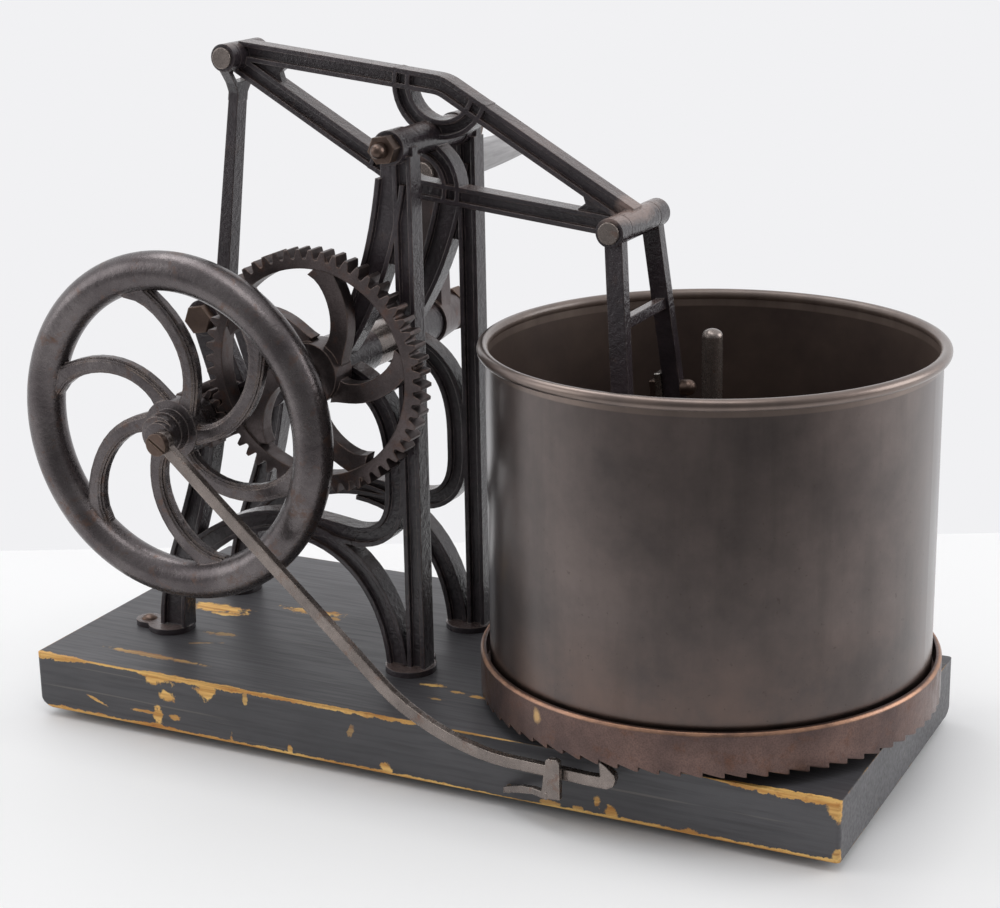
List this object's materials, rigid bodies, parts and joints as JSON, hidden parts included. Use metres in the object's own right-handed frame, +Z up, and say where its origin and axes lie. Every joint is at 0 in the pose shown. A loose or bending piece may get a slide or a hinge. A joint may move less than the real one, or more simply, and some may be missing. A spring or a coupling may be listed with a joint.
{
  "type": "hand-cranked meat chopper",
  "caption": "Hand-cranked tabletop meat chopper: a geared flywheel rocks a walking beam that drives a knife into a turning tin drum on a wooden board.",
  "frame": {"origin": "on the floor plane under the middle of the board", "axes": "+X from the flywheel end to the drum end, +Y from the flywheel side to the hand crank side, +Z up"},
  "size_m": [0.4375, 0.2856, 0.33],
  "materials": {
    "board_paint": "worn black paint over wood",
    "foot_rubber": "dark rubber button",
    "japanned_iron": "glossy black japan",
    "dark_cast_iron": "dark worn iron",
    "rusty_cast_iron": "brown rust",
    "tinplate": "dull aged tinplate",
    "plain_wood": "aged wood",
    "grey_grip": "grey painted wood",
    "worn_steel": "brown aged steel",
    "blade_steel": "ground steel",
    "fasteners": "brown aged steel"
  },
  "bodies": {
    "stand": {"base_board": "board_paint", "base_feet": "foot_rubber", "near_frame": "japanned_iron", "far_frame": "japanned_iron", "frame_screws": "fasteners", "pivot_bolt": "fasteners", "pivot_nut": "fasteners", "centre_post": "worn_steel", "post_screws": "fasteners", "pawl_guide": "worn_steel"},
    "drum": {"drum_shell": "tinplate", "drum_bottom": "plain_wood", "ratchet_ring": "rusty_cast_iron", "ring_screws": "fasteners", "drum_hub": "rusty_cast_iron"},
    "main_shaft_group": {"main_shaft": "worn_steel", "large_gear": "rusty_cast_iron", "gear_pin": "worn_steel", "hand_crank": "rusty_cast_iron", "crank_nut": "fasteners", "grip_spindle": "worn_steel"},
    "grip": {"handle_grip": "grey_grip"},
    "flywheel_group": {"flywheel": "dark_cast_iron", "flywheel_shaft": "worn_steel", "flywheel_pin": "worn_steel", "pinion": "rusty_cast_iron", "near_cheek": "japanned_iron", "far_cheek": "japanned_iron", "far_stub_shaft": "worn_steel", "cheek_bolts": "fasteners", "pawl_eccentric": "dark_cast_iron", "eccentric_screw": "fasteners"},
    "pawl": {"pawl_rod": "worn_steel"},
    "beam": {"walking_beam": "japanned_iron"},
    "rod": {"connecting_rod": "japanned_iron", "rod_pin": "worn_steel", "crank_pin": "worn_steel"},
    "knife": {"knife_fork": "japanned_iron", "fork_pin": "worn_steel", "knife_blade": "blade_steel", "knife_bolts": "fasteners", "knife_nuts": "fasteners"}
  },
  "joints": [
    {"name": "flywheel_spin", "type": "hinge", "parent": "stand", "child": "flywheel_group", "pos_m": [-0.12912, 0, 0.15454], "axis": [0, 1, 0], "continuous": true},
    {"name": "main_shaft_spin", "type": "hinge", "parent": "stand", "child": "main_shaft_group", "pos_m": [-0.0643, 0, 0.1832], "axis": [0, 1, 0], "continuous": true},
    {"name": "grip_spin", "type": "hinge", "parent": "main_shaft_group", "child": "grip", "pos_m": [-0.06337, 0.12, 0.25899], "axis": [0, 1, 0], "continuous": true},
    {"name": "drum_turn", "type": "hinge", "parent": "stand", "child": "drum", "pos_m": [0.1159, 0, 0.06], "axis": [0, 0, 1], "continuous": true},
    {"name": "pawl_swing", "type": "hinge", "parent": "flywheel_group", "child": "pawl", "pos_m": [-0.12292, -0.091, 0.15345], "axis": [0, 1, 0], "continuous": true},
    {"name": "beam_rock", "type": "hinge", "parent": "stand", "child": "beam", "pos_m": [-0.025, 0, 0.289], "axis": [0, 1, 0], "range_deg": [-46, 2]},
    {"name": "rod_swing", "type": "hinge", "parent": "beam", "child": "rod", "pos_m": [-0.12751, 0, 0.323], "axis": [0, 1, 0], "range_deg": [-2, 45]},
    {"name": "knife_swing", "type": "hinge", "parent": "beam", "child": "knife", "pos_m": [0.07751, 0, 0.255], "axis": [0, 1, 0], "range_deg": [-2, 46]}
  ],
  "couplings": [
    {"joint": "main_shaft_spin", "follows": "flywheel_spin", "ratio": -0.25},
    {"joint": "drum_turn", "follows": "flywheel_spin", "ratio": -0.013889},
    {"joint": "pawl_swing", "follows": "flywheel_spin", "ratio": -1},
    {"joint": "rod_swing", "follows": "beam_rock", "ratio": -0.966},
    {"joint": "knife_swing", "follows": "beam_rock", "ratio": -1}
  ]
}
